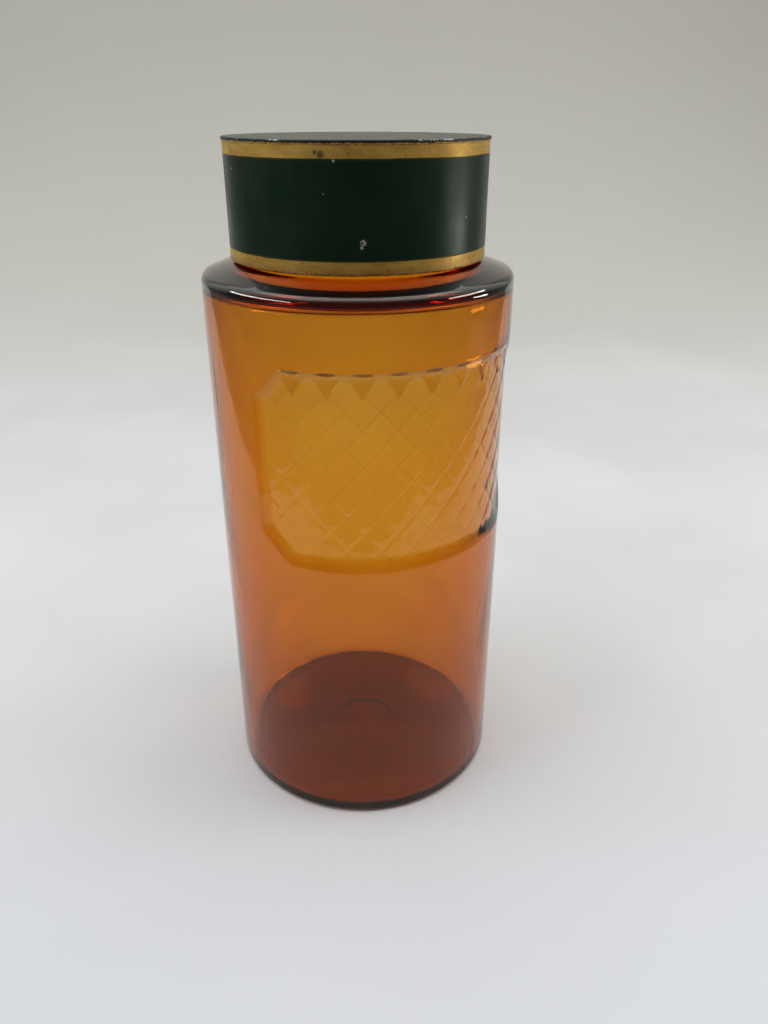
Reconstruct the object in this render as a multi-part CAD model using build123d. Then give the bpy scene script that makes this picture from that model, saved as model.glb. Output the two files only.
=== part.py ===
from build123d import *

# A tall mould-blown amber glass storage jar with a slip-on painted tinplate lid.
#
# Row frame, millimetres: +Z up, origin at the centre of the foot, label recess facing -Y.
# The jar is one piece of glass. The lid is a rolled band, a capped disc, two runs of
# solder and a cork wad that seats on the jar's lip.

import os
from math import cos, pi, radians, sin, sqrt, tan

# --- driving dimensions -------------------------------------------------------------
BODY_R = 57.5  # outside of the body
TOTAL_H = 260.5  # foot to the top of the lid
WALL = 2.4  # glass wall
FLOOR = 2.2  # height of the inner floor at its edge

HEEL_R = 2.5  # rounded outside corner at the foot
INNER_HEEL_R = 3.5
FOOT_INNER_R = 52.5  # inside edge of the flat foot ring
PUNT_R = 46.0  # outside edge of the underside's shallow dome
PUNT_Z = 0.7
PUSH_UP = 1.3  # how far the middle of the underside rises
FLOOR_RISE = 4.2  # how far the inner floor rises in its middle
PONTIL_R = 13.5  # ground hollow in the middle of the underside
PONTIL_DEPTH = 1.3

SHOULDER_Z = 213.3  # top of the straight body
SHOULDER_R = 3.45  # rounded outer corner of the shoulder
SHOULDER_SLOPE = 20.0  # degrees above level
NECK_R = 45.0  # outside of the neck
NECK_COVE_R = 1.2  # hollow corner where the neck meets the shoulder
INNER_SHOULDER_Z = 212.7  # the shoulder is level inside, so the glass thickens to the neck
INNER_SHOULDER_R = 6.0
INNER_NECK_R = 4.0  # rounding between the level part and the inside of the neck
LIP_R = 1.15  # rounding of both edges of the lip

RECESS_DEPTH = 1.5
RECESS_TOP = 193.5  # upper edge of the recess on the body
RECESS_BOTTOM = 118.5
RECESS_HALF_ANGLE = 65.7  # degrees from the middle of the recess to its side edges
RECESS_CORNER = 12.5  # cut corners, along the body
RECESS_WALL = 5.0  # width of the sloping wall, along the body
RECESS_END = 22.0  # degrees that hold the recess's whole end, with its cut corners

SHEET = 0.35  # tinplate
LID_R = 46.3  # outside of the band
LID_BOTTOM = 220.9
HEM = 4.0  # height of the folded hem inside the lower edge
LAP_ANGLE = 8.0  # degrees of the band that overlap in the side seam
LAP_LINE = 0.15  # depth of the line the lapped edge leaves outside
LAP_LINE_WIDTH = 0.5  # degrees
RIM_HEIGHT = 1.2  # turned-down edge of the lid's disc
RIM_GAP = 0.05  # between the band and the turned-down edge
RIM_SHEET = 0.3
RIM_ROUND = 0.28
SOLDER = 1.0  # leg of the solder under the disc
SEAM_SOLDER = 0.3  # leg of the solder along the side seam
SOLDER_GAP = 0.01  # between the solder and the tin, so that the solids stay apart
LINER_R = 44.5
LINER_T = 2.0
LINER_CHAMFER = 0.2
LINER_GAP = 0.1  # the cork sits this far above the lip

# --- worked out from them -----------------------------------------------------------
BODY_IN = BODY_R - WALL
NECK_IN = NECK_R - WALL
DISC_UNDER = TOTAL_H - SHEET
LINER_BOTTOM = DISC_UNDER - LINER_T
LIP_Z = LINER_BOTTOM - LINER_GAP
BAND_IN = LID_R - SHEET
HEM_IN = BAND_IN - SHEET
FRONT = -90.0  # the recess faces -Y
BACK = 90.0  # the side seam of the lid is at +Y
FAR = 400.0  # bigger than anything here
OVER = 1.0  # how far a cutting shape runs past the surface it cuts


def on_body(radius, angle, z):
    """A point at angle degrees from the front of the jar, towards +X."""
    a = radians(FRONT + angle)
    return Vector(radius * cos(a), radius * sin(a), z)


def shoulder():
    """Points of the shoulder's outline, from its round edge to the foot of the neck."""
    slope = radians(SHOULDER_SLOPE)
    centre_r = BODY_R - SHOULDER_R
    half = (pi / 2 - slope) / 2
    arc_mid = (centre_r + SHOULDER_R * cos(half), SHOULDER_Z + SHOULDER_R * sin(half))
    end_r = centre_r + SHOULDER_R * sin(slope)
    end_z = SHOULDER_Z + SHOULDER_R * cos(slope)

    cove_r = NECK_R + NECK_COVE_R
    cove_z = end_z + (end_r - cove_r) * tan(slope) + NECK_COVE_R / cos(slope)
    middle = (pi / 2 + slope) / 2
    cone_end = (cove_r - NECK_COVE_R * sin(slope), cove_z - NECK_COVE_R * cos(slope))
    cove_mid = (cove_r - NECK_COVE_R * sin(middle), cove_z - NECK_COVE_R * cos(middle))
    return arc_mid, (end_r, end_z), cone_end, cove_mid, (NECK_R, cove_z)


def quarter(corner_r, corner_z, radius, toward_r, toward_z):
    """Middle point of a quarter arc whose square corner is given."""
    inset = radius * (1 - sqrt(0.5))
    return (corner_r + toward_r * inset, corner_z + toward_z * inset)


def revolved(edges):
    """A full revolution about Z of the closed outline that the edges make in XZ."""
    return revolve(Plane.XZ * make_face(edges), Axis.Z, 360)


def jar_outside():
    rise = PUSH_UP - PUNT_Z
    dome_r = (PUNT_R**2 + rise**2) / (2 * rise)

    def dome(r):
        return PUSH_UP - dome_r + sqrt(dome_r**2 - r**2)

    pontil_z = dome(PONTIL_R)
    pontil_mid = (PONTIL_R / 2, pontil_z + 0.75 * PONTIL_DEPTH)
    dome_mid = (0.5 * (PONTIL_R + PUNT_R), dome(0.5 * (PONTIL_R + PUNT_R)))
    arc_mid, arc_end, cone_end, cove_mid, neck_start = shoulder()
    return revolved(
        [
            ThreePointArc((0, pontil_z + PONTIL_DEPTH), pontil_mid, (PONTIL_R, pontil_z)),
            ThreePointArc((PONTIL_R, pontil_z), dome_mid, (PUNT_R, PUNT_Z)),
            Line((PUNT_R, PUNT_Z), (FOOT_INNER_R, 0)),
            Line((FOOT_INNER_R, 0), (BODY_R - HEEL_R, 0)),
            ThreePointArc(
                (BODY_R - HEEL_R, 0), quarter(BODY_R, 0, HEEL_R, -1, 1), (BODY_R, HEEL_R)
            ),
            Line((BODY_R, HEEL_R), (BODY_R, SHOULDER_Z)),
            ThreePointArc((BODY_R, SHOULDER_Z), arc_mid, arc_end),
            Line(arc_end, cone_end),
            ThreePointArc(cone_end, cove_mid, neck_start),
            Line(neck_start, (NECK_R, LIP_Z - LIP_R)),
            ThreePointArc(
                (NECK_R, LIP_Z - LIP_R),
                quarter(NECK_R, LIP_Z, LIP_R, -1, -1),
                (NECK_R - LIP_R, LIP_Z),
            ),
            Line((NECK_R - LIP_R, LIP_Z), (0, LIP_Z)),
            Line((0, LIP_Z), (0, pontil_z + PONTIL_DEPTH)),
        ]
    )


def jar_inside():
    """The space inside the jar, open past the lip."""
    edge_r = BODY_IN - INNER_SHOULDER_R
    edge_z = INNER_SHOULDER_Z - INNER_SHOULDER_R
    neck_r = NECK_IN + INNER_NECK_R
    neck_z = INNER_SHOULDER_Z + INNER_NECK_R
    floor_mid_z = FLOOR + FLOOR_RISE
    floor_edge_r = BODY_IN - INNER_HEEL_R
    mouth_r = NECK_IN + LIP_R
    above = LIP_Z + LIP_R
    return revolved(
        [
            ThreePointArc(
                (0, floor_mid_z),
                (floor_edge_r / 2, FLOOR + 0.75 * FLOOR_RISE),
                (floor_edge_r, FLOOR),
            ),
            ThreePointArc(
                (floor_edge_r, FLOOR),
                quarter(BODY_IN, FLOOR, INNER_HEEL_R, -1, 1),
                (BODY_IN, FLOOR + INNER_HEEL_R),
            ),
            Line((BODY_IN, FLOOR + INNER_HEEL_R), (BODY_IN, edge_z)),
            ThreePointArc(
                (BODY_IN, edge_z),
                quarter(BODY_IN, INNER_SHOULDER_Z, INNER_SHOULDER_R, -1, -1),
                (edge_r, INNER_SHOULDER_Z),
            ),
            Line((edge_r, INNER_SHOULDER_Z), (neck_r, INNER_SHOULDER_Z)),
            ThreePointArc(
                (neck_r, INNER_SHOULDER_Z),
                quarter(NECK_IN, INNER_SHOULDER_Z, INNER_NECK_R, 1, 1),
                (NECK_IN, neck_z),
            ),
            Line((NECK_IN, neck_z), (NECK_IN, LIP_Z - LIP_R)),
            ThreePointArc(
                (NECK_IN, LIP_Z - LIP_R),
                quarter(NECK_IN, LIP_Z, LIP_R, 1, -1),
                (mouth_r, LIP_Z),
            ),
            Line((mouth_r, LIP_Z), (mouth_r, above)),
            Line((mouth_r, above), (0, above)),
            Line((0, above), (0, floor_mid_z)),
        ]
    )


def beneath(a, b, c):
    """All that lies on the jar's side of the plane through three points of its wall."""
    normal = (b - a).cross(c - a).normalized()
    if normal.dot(Vector(a.X, a.Y, 0)) > 0:
        normal = -normal
    return Plane(origin=a, z_dir=normal) * Box(
        FAR, FAR, FAR, align=(Align.CENTER, Align.CENTER, Align.MIN)
    )


def ring_sector(inner_r, outer_r, low, high, middle, width):
    """A piece of tube, width degrees wide about the angle middle."""
    section = Plane.XZ * make_face(
        Polyline((inner_r, low), (outer_r, low), (outer_r, high), (inner_r, high), close=True)
    )
    return revolve(section, Axis.Z, width).rotate(Axis.Z, middle - width / 2)


def recess_block(face_r):
    """What the label recess takes out of a round wall whose face has radius face_r.

    An eight-sided panel with a floor that follows the wall and sloping sides.
    """
    floor_r = face_r - RECESS_DEPTH
    flare = RECESS_WALL / RECESS_DEPTH * OVER
    low, high = RECESS_BOTTOM, RECESS_TOP
    section = Plane.XZ * make_face(
        Polyline(
            (floor_r, low + RECESS_WALL),
            (face_r + OVER, low - flare),
            (face_r + OVER, high + flare),
            (floor_r, high - RECESS_WALL),
            close=True,
        )
    )
    half = RECESS_HALF_ANGLE + OVER
    block = revolve(section, Axis.Z, 2 * half).rotate(Axis.Z, FRONT - half)

    degrees_per_mm = 180 / (pi * BODY_R)
    wall_angle = RECESS_WALL * degrees_per_mm
    corner_angle = RECESS_CORNER * degrees_per_mm
    inset = sqrt(0.5) * RECESS_WALL
    for side in (-1, 1):
        top = on_body(face_r, side * RECESS_HALF_ANGLE, high)
        bottom = on_body(face_r, side * RECESS_HALF_ANGLE, low)
        foot = on_body(floor_r, side * (RECESS_HALF_ANGLE - wall_angle), low)
        kept_glass = beneath(top, bottom, foot)
        for edge_z, up in ((low, 1), (high, -1)):
            start = on_body(face_r, side * (RECESS_HALF_ANGLE - corner_angle), edge_z)
            end = on_body(face_r, side * RECESS_HALF_ANGLE, edge_z + up * RECESS_CORNER)
            foot = on_body(
                floor_r,
                side * (RECESS_HALF_ANGLE - corner_angle / 2 - inset * degrees_per_mm),
                edge_z + up * (RECESS_CORNER / 2 + inset),
            )
            kept_glass += beneath(start, end, foot)
        end_of_panel = ring_sector(
            floor_r - OVER,
            face_r + 2 * OVER,
            low - 2 * flare,
            high + 2 * flare,
            FRONT + side * (RECESS_HALF_ANGLE + 2 * OVER - RECESS_END / 2),
            RECESS_END,
        )
        block -= end_of_panel & kept_glass
    return block


def glass_jar():
    outside = jar_outside() - recess_block(BODY_R)
    inside = jar_inside() - recess_block(BODY_IN)
    return outside - inside


def lid_band():
    """The rolled side of the lid, hemmed inside below, its ends lapped at the back."""
    low = LID_BOTTOM
    fold = SHEET  # radius of the fold at the lower edge
    band = revolved(
        [
            Line((HEM_IN, low + fold), (HEM_IN, low + HEM)),
            Line((HEM_IN, low + HEM), (BAND_IN, low + HEM)),
            Line((BAND_IN, low + HEM), (BAND_IN, DISC_UNDER)),
            Line((BAND_IN, DISC_UNDER), (LID_R, DISC_UNDER)),
            Line((LID_R, DISC_UNDER), (LID_R, low + fold)),
            ThreePointArc((LID_R, low + fold), (BAND_IN, low), (HEM_IN, low + fold)),
        ]
    )
    lap_top = DISC_UNDER - SOLDER
    band += ring_sector(HEM_IN, BAND_IN, low + HEM, lap_top, BACK, LAP_ANGLE)
    edge = BACK + LAP_ANGLE / 2
    band -= ring_sector(
        LID_R - LAP_LINE, LID_R + OVER, low - OVER, DISC_UNDER + OVER, edge, LAP_LINE_WIDTH
    )
    return band


def lid_disc():
    """The flat top of the lid, its edge turned down over the band."""
    rim_in = LID_R + RIM_GAP
    rim_out = rim_in + RIM_SHEET
    low = TOTAL_H - RIM_HEIGHT
    return revolved(
        [
            Line((0, TOTAL_H), (rim_out - RIM_ROUND, TOTAL_H)),
            ThreePointArc(
                (rim_out - RIM_ROUND, TOTAL_H),
                quarter(rim_out, TOTAL_H, RIM_ROUND, -1, -1),
                (rim_out, TOTAL_H - RIM_ROUND),
            ),
            Line((rim_out, TOTAL_H - RIM_ROUND), (rim_out, low)),
            Line((rim_out, low), (rim_in, low)),
            Line((rim_in, low), (rim_in, DISC_UNDER)),
            Line((rim_in, DISC_UNDER), (0, DISC_UNDER)),
            Line((0, DISC_UNDER), (0, TOTAL_H)),
        ]
    )


def lid_top_solder():
    """The solder that joins the band and the disc, run round inside the corner."""
    outer = BAND_IN - SOLDER_GAP
    return revolved(
        [
            Line((outer, DISC_UNDER), (outer, DISC_UNDER - SOLDER)),
            Line((outer, DISC_UNDER - SOLDER), (outer - SOLDER, DISC_UNDER)),
            Line((outer - SOLDER, DISC_UNDER), (outer, DISC_UNDER)),
        ]
    )


def lid_seam_solder():
    """Solder along both edges of the lapped seam, inside the band."""
    low = LID_BOTTOM + HEM
    high = DISC_UNDER - SOLDER
    outer = BAND_IN - SOLDER_GAP
    clear = 0.02  # degrees between the solder and the lapped edge
    width = SEAM_SOLDER / BAND_IN * 180 / pi
    runs = []
    for side in (-1, 1):
        middle = BACK + side * (LAP_ANGLE / 2 + clear + width / 2)
        runs.append(ring_sector(outer - SEAM_SOLDER, outer, low, high, middle, width))
    return Compound(children=runs)


def lid_liner():
    """The cork wad that closes on the lip."""
    wad = Pos(0, 0, LINER_BOTTOM) * Cylinder(
        LINER_R, LINER_T, align=(Align.CENTER, Align.CENTER, Align.MIN)
    )
    return chamfer(wad.edges().filter_by(GeomType.CIRCLE), LINER_CHAMFER)


NODES = {
    "glass_jar": glass_jar,
    "lid_band": lid_band,
    "lid_disc": lid_disc,
    "lid_top_solder": lid_top_solder,
    "lid_seam_solder": lid_seam_solder,
    "lid_liner": lid_liner,
}

os.makedirs("parts", exist_ok=True)
for name, make in NODES.items():
    export_step(make(), f"parts/{name}.step")
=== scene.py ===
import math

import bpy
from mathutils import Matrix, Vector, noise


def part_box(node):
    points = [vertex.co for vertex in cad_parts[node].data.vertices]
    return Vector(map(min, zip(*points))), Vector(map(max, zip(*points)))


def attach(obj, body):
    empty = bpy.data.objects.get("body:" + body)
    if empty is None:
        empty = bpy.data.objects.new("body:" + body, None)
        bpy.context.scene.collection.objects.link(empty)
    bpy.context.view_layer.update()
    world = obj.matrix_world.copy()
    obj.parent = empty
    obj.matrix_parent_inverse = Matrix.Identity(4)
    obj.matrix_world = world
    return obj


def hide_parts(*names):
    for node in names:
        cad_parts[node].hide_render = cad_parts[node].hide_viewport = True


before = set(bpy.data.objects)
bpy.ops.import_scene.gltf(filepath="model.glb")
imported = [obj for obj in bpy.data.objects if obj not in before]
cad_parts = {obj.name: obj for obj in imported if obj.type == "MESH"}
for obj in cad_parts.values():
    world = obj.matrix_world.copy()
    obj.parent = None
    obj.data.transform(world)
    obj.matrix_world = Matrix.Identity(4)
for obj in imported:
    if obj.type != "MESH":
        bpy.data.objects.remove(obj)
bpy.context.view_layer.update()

# An amber glass storage jar with a painted tin lid. Lengths are millimetres in the frame's
# axes until a mesh is made. Angles are degrees from the front of the jar, which faces -Y,
# growing towards +X.

MM = 0.001

# --- the jar, worked out from the frame -----------------------------------------------
JAR_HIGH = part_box("glass_jar")[1]
BAND_LOW, BAND_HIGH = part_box("lid_band")
DISC_LOW, DISC_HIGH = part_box("lid_disc")
LINER_LOW, LINER_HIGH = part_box("lid_liner")
SOLDER_LOW, SOLDER_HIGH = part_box("lid_top_solder")
SEAM_LOW, SEAM_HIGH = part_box("lid_seam_solder")

BODY_R = JAR_HIGH[0] / MM
LIP_Z = JAR_HIGH[2] / MM
LID_R = BAND_HIGH[0] / MM
LID_BOTTOM = BAND_LOW[2] / MM
LID_TOP = DISC_HIGH[2] / MM
RIM_R = DISC_HIGH[0] / MM
RIM_LOW = DISC_LOW[2] / MM
SHEET = 0.35  # thickness of the tin
DISC_UNDER = LID_TOP - SHEET

# --- the glass ------------------------------------------------------------------------
NECK_R = 45.0
SHOULDER_Z = 213.3  # where the straight side ends
SHOULDER_ROUND = 3.45
SHOULDER_SLOPE = math.radians(20)
COVE_R = 1.2  # the hollow corner between shoulder and neck
LIP_ROUND = 1.15
INNER_SHOULDER_Z = 212.7
INNER_SHOULDER_R = 3.2
INNER_NECK_R = 4.0
HEEL_R = 2.5
INNER_HEEL_R = 3.5
FOOT_INNER_R = 52.5  # inside edge of the ring that the jar stands on
PUNT_R = 46.0  # outside edge of the underside's shallow dome
PUNT_Z = 0.7
PUSH_UP = 1.3  # height of the dome
PONTIL_R = 13.5  # the small hollow in the middle of the dome
PONTIL_DEPTH = 1.3
FLOOR = 2.2  # thickness of the floor at its edge
FLOOR_RISE = 4.2  # how far the floor rises from there to its middle
WALL_AT_FOOT = 2.9
WALL_AT_SHOULDER = 2.1
NECK_WALL = 2.4

RECESS_MIDDLE = 156.0
RECESS_HALF_HEIGHT = 37.5
RECESS_HALF_ANGLE = 65.7
RECESS_CORNER = 12.5
RECESS_WALL = 5.0  # width of the slope round it
RECESS_DEPTH = 1.5
DIAMOND_ANGLE = 12.4  # width of one diamond of the lattice
DIAMOND_HEIGHT = 13.17
DIAMOND_TOP = 185.38  # height of the lattice's highest full crossing
DIAMOND_STEPS = 19  # mesh cells across one diamond
CREASE_WIDTH = 0.45
CREASE_DEPTH = 0.17
TONGUE_TIP = 182.8  # tongues of thicker glass below the recess's upper edge
TONGUE_HEIGHT = 7.2
TONGUE_RELIEF = 0.42
DASH_Z = 191.8  # middle of the painted dark dashes of shade in the recess's upper step
WORKED_HALF_ANGLE = 53.0  # the painted dark dashes and the shaded creases fade out this far round


# --- meshes ---------------------------------------------------------------------------
def smooth_step(x):
    x = min(max(x, 0.0), 1.0)
    return x * x * (3 - 2 * x)


def soft_positive(x, k):
    """max(x, 0), rounded within k of the corner."""
    if x <= -k:
        return 0.0
    return x if x >= k else (x + k) ** 2 / (4 * k)


def soft_least(a, b, k):
    """min(a, b), rounded within k of the corner."""
    return a - soft_positive(a - b, k)


def wobble(x, y, z, size, seed=0.0):
    """Smooth noise, about -1 to 1, with features of that size in mm."""
    return noise.noise(Vector((x / size + seed, y / size - seed, z / size + 2 * seed)))


def arc(centre, radius, start, end, steps):
    """Points along an arc in (r, z), its ends included."""
    turn = (end - start) / steps
    return [
        (
            centre[0] + radius * math.cos(start + turn * i),
            centre[1] + radius * math.sin(start + turn * i),
        )
        for i in range(steps + 1)
    ]


def line(start, end, steps):
    """Points from start towards end in (r, z), without the end itself."""
    return [
        (
            start[0] + (end[0] - start[0]) * i / steps,
            start[1] + (end[1] - start[1]) * i / steps,
        )
        for i in range(steps)
    ]


def new_piece(name, verts, faces):
    mesh = bpy.data.meshes.new(name)
    mesh.from_pydata(verts, [], faces)
    mesh.validate()
    mesh.shade_smooth()
    piece = bpy.data.objects.new(name, mesh)
    bpy.context.scene.collection.objects.link(piece)
    return piece


def turned(name, rows, angles, shape, loop=False):
    """A mesh turned about Z from (r, z) rows, listed so that outside is on their right
    as they go up. A row with r = 0 is a pole. shape(r, z, angle, row) moves each point
    and loop joins the last row to the first."""
    verts, faces, rings = [], [], []
    for index, (r, z) in enumerate(rows):
        if r == 0:
            rings.append([len(verts)])
            r2, z2 = shape(0.0, z, 0.0, index)
            verts.append((0.0, 0.0, z2 * MM))
            continue
        ring = []
        for angle in angles:
            r2, z2 = shape(r, z, angle, index)
            a = math.radians(angle - 90)
            ring.append(len(verts))
            verts.append((r2 * math.cos(a) * MM, r2 * math.sin(a) * MM, z2 * MM))
        rings.append(ring)
    count = len(angles)
    pairs = list(zip(rings, rings[1:]))
    if loop:
        pairs.append((rings[-1], rings[0]))
    for low, high in pairs:
        for i in range(count):
            j = (i + 1) % count
            if len(low) == 1:
                faces.append((low[0], high[j], high[i]))
            elif len(high) == 1:
                faces.append((low[i], low[j], high[0]))
            else:
                faces.append((low[i], low[j], high[j], high[i]))
    return new_piece(name, verts, faces)


def even_angles(count):
    return [-180 + 360 * i / count for i in range(count)]


def jar_angles():
    """Fine columns over the recess, in step with the lattice, and wider ones behind."""
    fine = DIAMOND_ANGLE / DIAMOND_STEPS
    half = math.ceil((RECESS_HALF_ANGLE + 2.5) / fine)
    front = [i * fine for i in range(-half, half + 1)]
    behind = 76
    gap = (360 - 2 * half * fine) / behind
    return front + [half * fine + gap * i for i in range(1, behind)]


# --- the jar's surfaces ---------------------------------------------------------------
def recess_inset(angle, z):
    """How far a point of the wall is inside the recess's outline, in mm along the wall."""
    across = (RECESS_HALF_ANGLE - abs(angle)) * math.pi / 180 * BODY_R
    up = RECESS_HALF_HEIGHT - abs(z - RECESS_MIDDLE)
    corner = (across + up - RECESS_CORNER) * math.sqrt(0.5)
    return soft_least(soft_least(across, up, 0.8), corner, 0.8)


def recess(angle, z, depth, rounding):
    """Depth of the recess, with its sloping walls rounded top and bottom."""
    inset = recess_inset(angle, z)
    rise = soft_positive(inset, rounding) - soft_positive(inset - RECESS_WALL, rounding)
    return depth * rise / RECESS_WALL


def top_step(angle, z, depth):
    """Depth of the recess by its upper edge, which drops in a sharp step. The step is
    sharpest above each top crossing of the lattice, over a tongue of thicker glass."""
    inset = RECESS_MIDDLE + RECESS_HALF_HEIGHT - z
    off = abs(angle / DIAMOND_ANGLE - round(angle / DIAMOND_ANGLE))
    sharp = 1 - smooth_step((off - 0.16) / 0.16)
    width = 1.7 - 1.15 * sharp
    step = smooth_step((inset - 1.1) / width)
    slope = smooth_step((inset - 1.1) / 3.4)
    down = (z - TONGUE_TIP) / TONGUE_HEIGHT
    tongue = smooth_step(1.2 * (0.30 * down - off) / 0.16 + 0.5) if 0 < down < 1.2 else 0.0
    tongue *= smooth_step((1.05 - down) / 0.2)
    return depth * (0.62 * step + 0.38 * slope) - TONGUE_RELIEF * tongue


def lattice(angle, z):
    """Outward relief of the diamonds on the recess's floor: low pillows between creases."""
    inset = recess_inset(angle, z)
    fade = smooth_step((inset - RECESS_WALL + 1.2) / 1.6)
    if fade == 0:
        return 0.0
    p = angle / DIAMOND_ANGLE
    q = (z - DIAMOND_TOP) / DIAMOND_HEIGHT
    cell = 1 / math.hypot(1 / (math.radians(DIAMOND_ANGLE) * BODY_R), 1 / DIAMOND_HEIGHT)
    first = abs(p + q - round(p + q)) * cell
    second = abs(p - q - round(p - q)) * cell
    faint = 0.5 * math.exp(-((first / CREASE_WIDTH) ** 2))
    crease = max(faint, math.exp(-((second / CREASE_WIDTH) ** 2)))
    pillow = 16 * first * second / cell**2
    worn = 0.75 + 0.35 * wobble(angle, z, 0, 23, 4.0)
    worn *= 0.55 + 0.45 * smooth_step((angle - 12) / 24)
    full = 0.15 + 0.15 * wobble(math.floor(p + q), math.floor(p - q), 0, 1.7, 2.0)
    return fade * worn * (full * min(pillow, 1.0) - CREASE_DEPTH * crease)


def shoulder_rows():
    """The shoulder's round edge, its cone and its cove, going up to the neck."""
    centre_r = BODY_R - SHOULDER_ROUND
    tip_r = centre_r + SHOULDER_ROUND * math.sin(SHOULDER_SLOPE)
    tip_z = SHOULDER_Z + SHOULDER_ROUND * math.cos(SHOULDER_SLOPE)
    cove_r = NECK_R + COVE_R
    cove_z = (
        tip_z
        + (tip_r - cove_r) * math.tan(SHOULDER_SLOPE)
        + COVE_R / math.cos(SHOULDER_SLOPE)
    )
    edge = arc((centre_r, SHOULDER_Z), SHOULDER_ROUND, 0, math.pi / 2 - SHOULDER_SLOPE, 12)
    cove = arc((cove_r, cove_z), COVE_R, 1.5 * math.pi - SHOULDER_SLOPE, math.pi, 7)
    return edge + line(edge[-1], cove[0], 8)[1:] + cove


def underside(r):
    """Height of the underside: a shallow dome inside a flat ring, with a small hollow."""
    dome = PUSH_UP - (PUSH_UP - PUNT_Z) * (r / PUNT_R) ** 2
    ring = PUNT_Z * (FOOT_INNER_R - r) / (FOOT_INNER_R - PUNT_R)
    hollow = soft_positive(PONTIL_DEPTH * (1 - (r / PONTIL_R) ** 4), 0.05)
    return soft_least(dome, ring, 0.15) + hollow


def foot_rows():
    """The underside from its middle to the flat ring, closer where it bends."""
    radii = [0, 3, 6, 9] + [10.4 + 0.4 * i for i in range(10)]
    radii += [16, 19, 23, 27, 31, 34, 37, 39, 41, 42.5, 44, 45.3, 46.5, 47.5, 48.4, 49.2]
    radii += [49.9, 50.5, 51.0]
    rows = [(r, underside(r)) for r in radii]
    ring = ((-0.7, 0.06), (-0.2, 0.01), (0.4, 0.0), (1.5, 0.0))
    return rows + [(FOOT_INNER_R + out, z) for out, z in ring]


def outer_rows():
    """The glass from the middle of the underside up to the top of the lip."""
    heel = arc((BODY_R - HEEL_R, HEEL_R), HEEL_R, -math.pi / 2, 0, 9)
    step = DIAMOND_HEIGHT / DIAMOND_STEPS
    first = math.floor((RECESS_MIDDLE - RECESS_HALF_HEIGHT - 2 - DIAMOND_TOP) / step)
    last = math.ceil((RECESS_MIDDLE + RECESS_HALF_HEIGHT - 5 - DIAMOND_TOP) / step)
    panel = [(BODY_R, DIAMOND_TOP + step * i) for i in range(first, last + 1)]
    panel += [(BODY_R, panel[-1][1] + 0.27 * i) for i in range(1, 24)]
    below = line(heel[-1], panel[0], 12)[1:]
    above = line(panel[-1], (BODY_R, SHOULDER_Z), 3)[1:]
    shoulder = shoulder_rows()
    neck = line(shoulder[-1], (NECK_R, LIP_Z - LIP_ROUND), 6)[1:]
    lip = arc((NECK_R - LIP_ROUND, LIP_Z - LIP_ROUND), LIP_ROUND, 0, math.pi / 2, 6)
    return foot_rows() + heel + below + panel + above + shoulder + neck + lip


def inner_rows():
    """The glass from the top of the lip down inside to the middle of the floor."""
    quarter = math.pi / 2
    neck_in = NECK_R - NECK_WALL
    body_in = BODY_R - WALL_AT_SHOULDER
    foot_in = BODY_R - WALL_AT_FOOT
    lip = arc((neck_in + LIP_ROUND, LIP_Z - LIP_ROUND), LIP_ROUND, quarter, math.pi, 6)
    neck_centre = (neck_in + INNER_NECK_R, INNER_SHOULDER_Z + INNER_NECK_R)
    shoulder = arc(neck_centre, INNER_NECK_R, math.pi, 3 * quarter, 8)
    body_centre = (body_in - INNER_SHOULDER_R, INNER_SHOULDER_Z - INNER_SHOULDER_R)
    shoulder += arc(body_centre, INNER_SHOULDER_R, quarter, 0, 10)
    heel_centre = (foot_in - INNER_HEEL_R, FLOOR + INNER_HEEL_R)
    heel = arc(heel_centre, INNER_HEEL_R, 0, -quarter, 10)
    panel_high = (body_in, RECESS_MIDDLE + RECESS_HALF_HEIGHT + 4)
    panel_low_r = body_in + 0.4 * (foot_in - body_in)
    panel_low = (panel_low_r, RECESS_MIDDLE - RECESS_HALF_HEIGHT - 4)
    rows = lip + line(lip[-1], shoulder[0], 5)[1:] + shoulder
    rows += line(shoulder[-1], panel_high, 2)[1:] + line(panel_high, panel_low, 44)
    rows += line(panel_low, heel[0], 12) + heel
    edge, steps = heel[-1][0], 18
    for i in range(1, steps + 1):
        r = edge * (1 - i / steps) if i < steps else 0
        rows.append((r, FLOOR + FLOOR_RISE * (1 - (r / edge) ** 2)))
    return rows


def jar_glass():
    outer, inner = outer_rows(), inner_rows()
    wall_in = BODY_R - WALL_AT_FOOT - 0.1

    def shape(r, z, angle, index):
        a = math.radians(angle - 90)
        x, y = math.cos(a) * BODY_R, math.sin(a) * BODY_R
        on_body = smooth_step((z - 6) / 10) * smooth_step((SHOULDER_Z + 4 - z) / 8)
        facing = (angle + 180) % 360 - 180
        if index < len(outer):
            if r < BODY_R - 1 or z < HEEL_R:
                return r, z
            r += 0.05 * on_body * (wobble(x, y, z, 60, 1.0) - 0.6)
            pressed = recess(facing, z, RECESS_DEPTH, 0.4)
            if z > TONGUE_TIP:
                pressed = min(pressed, top_step(facing, z, RECESS_DEPTH))
            return r - pressed + lattice(facing, z), z
        if r > wall_in and z > FLOOR + INNER_HEEL_R:
            r -= recess(facing, z, RECESS_DEPTH * 0.36, 2.4)
            r += 0.16 * on_body * wobble(x, y, z, 42, 7.0)
            r += 0.07 * on_body * wobble(x, y, z * 0.35, 13, 3.0)
        elif z < FLOOR + INNER_HEEL_R:
            z += 0.35 * wobble(r * math.cos(a), r * math.sin(a), 0, 24, 5.0) * smooth_step(r / 8)
        return r, z

    return turned("jar_glass", outer + inner, jar_angles(), shape)


# --- the lid's surfaces ---------------------------------------------------------------
SEAM_ANGLE = 180.0  # the lapped seam is at the back
LAP = 8.0  # degrees of overlap
HEM = 4.0  # height of the hem, folded up inside the band


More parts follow.
